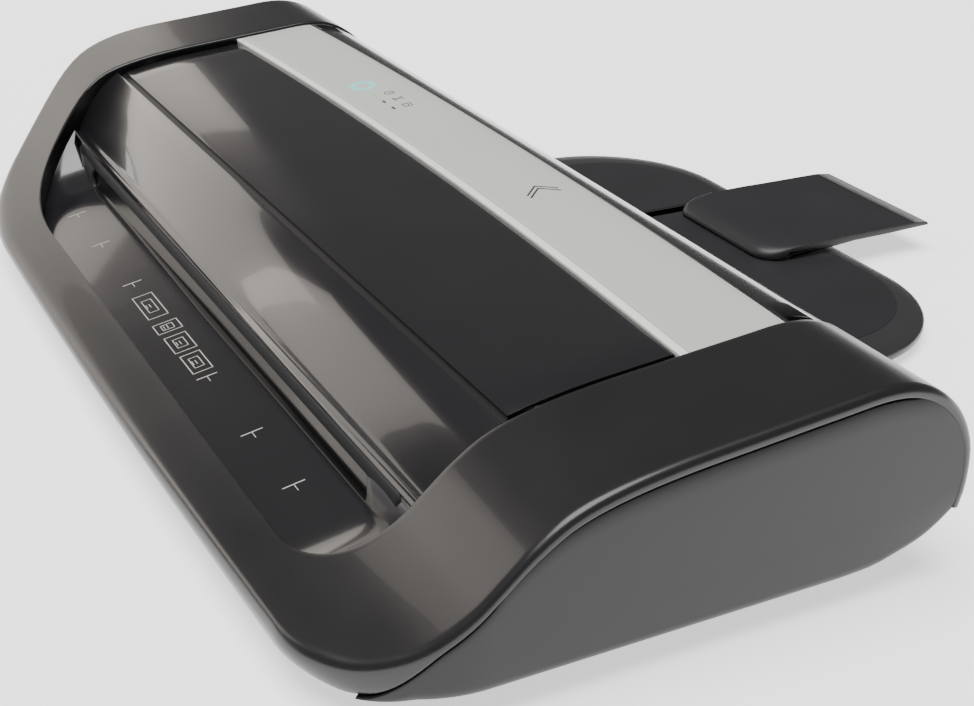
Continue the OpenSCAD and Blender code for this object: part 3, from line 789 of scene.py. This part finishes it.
# bezel_ring's reach, height, squareness and y, from the slot out over the flare and back inside
BEZEL_RINGS = [(4.7, 4.7, 1, 60.6), (4.7, 4.7, 1, 60.2), (4.8, 4.8, 0.98, 59.6), (5.3, 4.95, 0.95, 59.15),
               (6.4, 5.1, 0.9, 58.9), (12, 7, 0.7, 58.9), (22, 8.6, 0.5, 59.2), (33, 9.8, 0.35, 59.8),
               (42, 10.8, 0.25, 60.6), (48.5, 11, 0.2, 61.6), (48.5, 11, 0.2, 63.5), (6.4, 5.1, 0.9, 63.5),
               (4.9, 4.9, 1, 61)]
PASSAGE_RINGS = [(4.9, 4.9, 1, 60.9), (4.9, 4.9, 1, 68), (6, 6, 1, 68), (6, 6, 1, 63.6)]
LIP_X = 199
LIP_CENTRE = (62.6, 34)
LIP_OUTLINE = [(60.2, 31.4), (60.6, 31.0), (64, 31.0), (65, 36.4), (61.6, 37.0), (60.6, 36.6), (60.2, 35.6)]


def tray_point(x, y, lift=0.0):
    """A point on the input tray's face, which is flat in the middle and curls up at both ends."""
    z = TRAY_BACK_Z + (y - TRAY_BACK_Y) * TRAY_SLOPE + lift
    over = abs(x) - TRAY_FLAT[1 if x > 0 else -1]
    if over > 0:
        z += RAMP_R - math.sqrt(RAMP_R ** 2 - over ** 2)
    return Vector((x, y, z))


def make_input_tray():
    def section(y):
        ends = []
        for side in (-1, 1):
            flat, half = TRAY_FLAT[side], opening_half(side, y) - 0.3
            first = min(flat, half - 2)
            ends.append([side * (first + (half - first) * k / 12) for k in range(13)])
        xs = ends[0][::-1] + [0] + ends[1]
        top = [tray_point(x, y) for x in xs]
        return top + [p - Vector((0, 0, 1.8)) for p in reversed(top)]

    bm = bmesh.new()
    ys = [LIP_Y + 0.6 + 38.6 * (1 - math.cos(math.radians(a))) for a in steps_between(8, 90, 20)]
    sweep(bm, [section(y) for y in ys])
    finish_piece(bm, "gloss_input_tray", "machine", GLOSS_GREY_ABS, ["input_tray"])

    bm = bmesh.new()
    for x in GUIDE_MARKS_X:
        for side in (1, -1):
            printed_line(bm, [(side * x, 38.6), (side * x, 47)], 0.55, tray_point)
            printed_line(bm, [(side * x + 0.4, 42.8), (side * x + 4.5, 42.8)], 0.3, tray_point)
    # pouch pictograms: outlined boxes with a sheet drawn in each
    for left, right, low, high in PICTOGRAMS:
        printed_line(bm, [(left, low), (left, high), (right, high), (right, low)], 0.4, tray_point, closed=True)
        inner_x, inner_y = (right - left) * 0.24, (high - low) * 0.26
        printed_line(bm, [(left + inner_x, low + inner_y), (left + inner_x, high - inner_y),
                          (right - inner_x, high - inner_y), (right - inner_x, low + inner_y)], 0.35,
                     tray_point, closed=True)
        centre = (left + right) / 2
        printed_line(bm, [(centre - 1.6, (low + high) / 2), (centre + 1.6, (low + high) / 2)], 0.35, tray_point)
        printed_line(bm, [(centre - 1.6, (low + high) / 2 - 1.5), (centre + 1.6, (low + high) / 2 - 1.5)], 0.3,
                     tray_point)
    finish_piece(bm, "tray_marks", "machine", PALE_INK)


def bezel_ring(reach, up, square, y):
    """A ring round the mouth: reach beyond its straight part, height over its middle and squareness.

    It lies further back over the straight part, behind the dark strip, and rests on the tray below."""
    low = TRAY_BACK_Z - 0.6
    points = []
    for side in (1, -1):
        for a in steps_between(-90, 90, 17):
            angle = math.radians(a)
            rise = side * math.sin(angle)
            z = MOUTH_Z + rise * (up if rise > 0 else max(up, 7))
            back = 1.7 * max(rise, 0) ** 2
            points.append(Vector((side * (MOUTH_X + reach * max(math.cos(angle), 0) ** square), y + back,
                                  max(z, low))))
    return points


def make_mouth():
    bm = bmesh.new()
    sections = [bezel_ring(*ring) for ring in BEZEL_RINGS]
    sweep(bm, sections + [sections[0]], capped=False)
    finish_piece(bm, "mouth_bezel_frame", "machine", BEZEL_ABS, ["mouth_bezel"])

    # unlit passage behind the slot, in near-black as painted shade
    bm = bmesh.new()
    sections = [bezel_ring(*ring) for ring in PASSAGE_RINGS]
    sweep(bm, sections + [sections[0]], capped=False)
    finish_piece(bm, "mouth_passage", "machine", PAINTED_SHADE_LINING)

    bm = bmesh.new()
    mid_y, mid_z = LIP_CENTRE
    sections = []
    ends = [LIP_X + d for d in (1, 2.4, 3)]
    for x in [-e for e in reversed(ends)] + steps_between(-LIP_X, LIP_X, 3) + ends:
        shrink = 1 - 0.55 * (max(abs(x) - LIP_X, 0) / 3) ** 2
        sections.append([Vector((x, mid_y + (y - mid_y) * shrink, mid_z + (z - mid_z) * shrink))
                         for y, z in LIP_OUTLINE])
    sweep(bm, sections)
    finish_piece(bm, "mouth_strip", "machine", SATIN_GREY_ABS, ["mouth_lip"])


# ---- exit tray and tongue --------------------------------------------------

EXIT_BACK_IN = 5        # the tray's back edge stands this far inside its solid's
EXIT_CORNER_R = 70
SLIT = (-45.0, -38.0, 246)      # its two sides in x, and where it starts in y


def exit_outline(inset_side, inset_back, z):
    """The exit tray's outline in plan, from its front left corner round the back to the front right."""
    low, high = node_span("exit_tray")
    half, back, front = high.x - inset_side, high.y - EXIT_BACK_IN - inset_back, low.y
    radius = EXIT_CORNER_R - 0.5 * (inset_side + inset_back)
    points = [Vector((-half, y, z)) for y in steps_between(front, back - radius, 6)]
    for a in steps_between(0, 90, 16)[1:]:
        angle = math.radians(a)
        points.append(Vector((-half + radius * (1 - math.cos(angle)), back - radius * (1 - math.sin(angle)), z)))
    points += [Vector((x, back, z)) for x in steps_between(-half + radius, 0, 5)[1:]]
    return points + [Vector((-p.x, p.y, z)) for p in reversed(points[:-1])]


def split_by_slit(bm, low, high, front):
    """Cuts a slit between two values of x, open to the back, and closes its walls."""
    for x in (low, high):
        bmesh.ops.bisect_plane(bm, geom=bm.verts[:] + bm.edges[:] + bm.faces[:], dist=0.001,
                               plane_co=(x, 0, 0), plane_no=(1, 0, 0))
    bmesh.ops.bisect_plane(bm, geom=bm.verts[:] + bm.edges[:] + bm.faces[:], dist=0.001,
                           plane_co=(0, front, 0), plane_no=(0, 1, 0))
    inside = [f for f in bm.faces if low < f.calc_center_median().x < high and f.calc_center_median().y > front]
    bmesh.ops.delete(bm, geom=inside, context="FACES")
    open_edges = [e for e in bm.edges if e.is_boundary]
    bmesh.ops.bridge_loops(bm, edges=open_edges)


def make_exit_tray():
    low, high = node_span("exit_tray")
    base, top = low.z, high.z
    slit_low, slit_high, slit_front = SLIT
    rings = [exit_outline(2, 2, base), exit_outline(0.6, 0.6, base + 0.5), exit_outline(0, 0, base + 1.4),
             exit_outline(0, 0, top - 2.4), exit_outline(0.4, 0.4, top - 1.7),
             exit_outline(1.4, 1.2, top - 1.25)]
    rim = [exit_outline(1.4 + 17 * t, 1.2 + 6.6 * t, top - 1.25 + 1.0 * t) for t in (0.5, 1.0)]
    bm = bmesh.new()
    sweep(bm, rings + rim)
    split_by_slit(bm, slit_low, slit_high, slit_front)
    # the rim's paler colour is a painted highlight along the tray's edges
    tray = finish_piece(bm, "exit_tray_rim", "tray", RIM_ABS_PAINTED_HIGHLIGHT, ["exit_tray"], sharp=35)
    bevel = tray.modifiers.new("edge", "BEVEL")
    bevel.width, bevel.segments, bevel.limit_method, bevel.angle_limit = 0.5 * MM, 2, "ANGLE", math.radians(50)

    bm = bmesh.new()
    inner = [exit_outline(18.6, 8.0, top - 1.4), exit_outline(18.6, 8.0, top - 0.1),
             exit_outline(19.2, 8.6, top)]
    sweep(bm, inner)
    split_by_slit(bm, slit_low - 1.2, slit_high + 0.1, slit_front - 0.1)
    finish_piece(bm, "exit_tray_top", "tray", TRAY_ABS, sharp=35)


def make_exit_tongue():
    low, high = node_span("exit_tongue")
    half, near, far = high.x, low.y, high.y
    radius = 13

    def outline(x):
        over = max(abs(x) - (half - radius), 0)
        start = near + radius - math.sqrt(max(radius ** 2 - over ** 2, 0))
        upper = [(0, 10.6), (0.5, 12.0), (1.8, 13.6), (4, 14.7), (8, 15.6), (16, 16.1), (34, 16.2)]
        line = [(start + d, z) for d, z in upper]
        line += [(y, 16.2 - 0.4 * (y - 370) / 60) for y in (392, 412, 430)]
        line += [(431.2, 15.75), (far - 0.7, 14.5), (far, 14.1), (far, 13.7), (far - 0.5, 13.5)]
        line += [(415, 13), (392, 13), (start + 20, 13), (start + 8, 12.4), (start + 3.6, 11.2),
                 (start + 1.6, 10.1)]
        return line

    xs = [0] + [half - radius + radius * math.sin(math.radians(a)) for a in steps_between(0, 86, 14)]
    xs.append(half)
    xs = [-x for x in reversed(xs[1:])] + xs
    bm = bmesh.new()
    sweep(bm, [[Vector((x, y, z)) for y, z in outline(x)] for x in xs])
    soften(bm, 0.3, 62)
    finish_piece(bm, "exit_tongue_plate", "tongue", TRAY_ABS, ["exit_tongue"], sharp=32)

    # lip along the far edge, paler as a painted highlight
    bm = bmesh.new()
    lip = [(431.4, 15.95), (440.6, 14.75), (440.9, 14.5), (440.6, 14.35), (431.4, 15.5)]
    sweep(bm, [[Vector((x, y, z)) for y, z in lip] for x in steps_between(-half + 0.4, half - 0.4, 3)])
    finish_piece(bm, "exit_tongue_lip", "tongue", RIM_ABS_PAINTED_HIGHLIGHT)


# ---- the solids that stay as they are --------------------------------------

KEPT = {
    SATIN_BLACK_ABS: ["rear_panel", "inlet_panel", "mains_inlet", "tray_rails", "entry_sensor"],
    FOOT_RUBBER: ["rubber_feet"],
    ZINC_SHEET: ["base_screws", "side_frame_left", "side_frame_right", "tie_bars", "motor", "motor_bracket"],
    # the guide sheets are darkened as painted shade inside the mouth
    SHADE_BLACK_SHEET: ["lower_guide", "upper_guide", "exit_guides"],
    GROUND_STEEL: ["pressure_springs", "idler_pin", "hot_lower_shaft", "hot_upper_shaft", "pull_lower_shaft",
                   "pull_upper_shaft"],
    EXTRUDED_ALUMINIUM: ["heater_plates"],
    SINTERED_BRONZE: ["lower_bushes", "upper_bushes", "motor_pinion"],
    SILICONE: ["hot_lower_sleeve", "hot_upper_sleeve"],
    ROLLER_RUBBER: ["pull_lower_sleeve", "pull_upper_sleeve"],
    NYLON: ["thermostat", "idler_gear", "hot_lower_gears", "hot_upper_gear", "pull_lower_gears",
            "pull_upper_gear"],
    BOARD: ["control_board", "power_board"],
}


def finish_kept_solids():
    for material, nodes in KEPT.items():
        for node in nodes:
            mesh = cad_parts[node].data
            mesh.materials.clear()
            mesh.materials.append(material)


# ---- floor and light -------------------------------------------------------

LAMP_TINT = "#fff6ec"


def soft_light(name, place, target, size, power):
    data = bpy.data.lights.new(name, "AREA")
    data.shape, data.size, data.size_y = "RECTANGLE", size[0], size[1]
    data.energy, data.color = power, linear(LAMP_TINT)[:3]
    light = bpy.data.objects.new(name, data)
    light.location = place
    light.rotation_euler = (Vector(target) - Vector(place)).to_track_quat("-Z", "Y").to_euler()
    bpy.context.scene.collection.objects.link(light)


def make_stage():
    bm = bmesh.new()
    bmesh.ops.create_grid(bm, x_segments=1, y_segments=1, size=20)
    mesh = bpy.data.meshes.new("floor")
    bm.to_mesh(mesh)
    bm.free()
    floor = bpy.data.objects.new("floor", mesh)
    bpy.context.scene.collection.objects.link(floor)
    material, tree, shader, place = new_material("pale_floor")
    shader.inputs["Base Color"].default_value = linear("#f6f6f6")
    shader.inputs["Roughness"].default_value = 0.9
    shader.inputs["Specular IOR Level"].default_value = 0.1
    shader.inputs["Emission Color"].default_value = linear("#ffffff")
    shader.inputs["Emission Strength"].default_value = 1.1
    mesh.materials.append(material)

    world = bpy.data.worlds.new("studio")
    bpy.context.scene.world = world
    world.use_nodes = True
    tree = world.node_tree
    sky = tree.nodes["Background"]
    sky.inputs["Color"].default_value = linear("#f4f2f0")
    sky.inputs["Strength"].default_value = 0.16

    # an even overhead light for the floor, from lamps too high to mirror in the covers
    data = bpy.data.lights.new("overhead", "SUN")
    data.energy, data.angle = 4.4, math.radians(50)
    overhead = bpy.data.objects.new("overhead", data)
    overhead.rotation_euler = (math.radians(8), 0, 0)
    bpy.context.scene.collection.objects.link(overhead)
    soft_light("left_softbox", (-1.6, -0.45, 0.42), (0, 0, 0.05), (1.5, 0.75), 6)
    soft_light("front_left_softbox", (-1.2, -1.3, 0.75), (0, 0, 0.05), (0.8, 0.8), 5)


make_casing()
make_end_panel(1, "right")
make_end_panel(-1, "left")
make_base()
make_covers()
make_panel_signs(make_control_panel())
make_rear_trim()
make_input_tray()
make_mouth()
make_exit_tray()
make_exit_tongue()
finish_kept_solids()
make_stage()
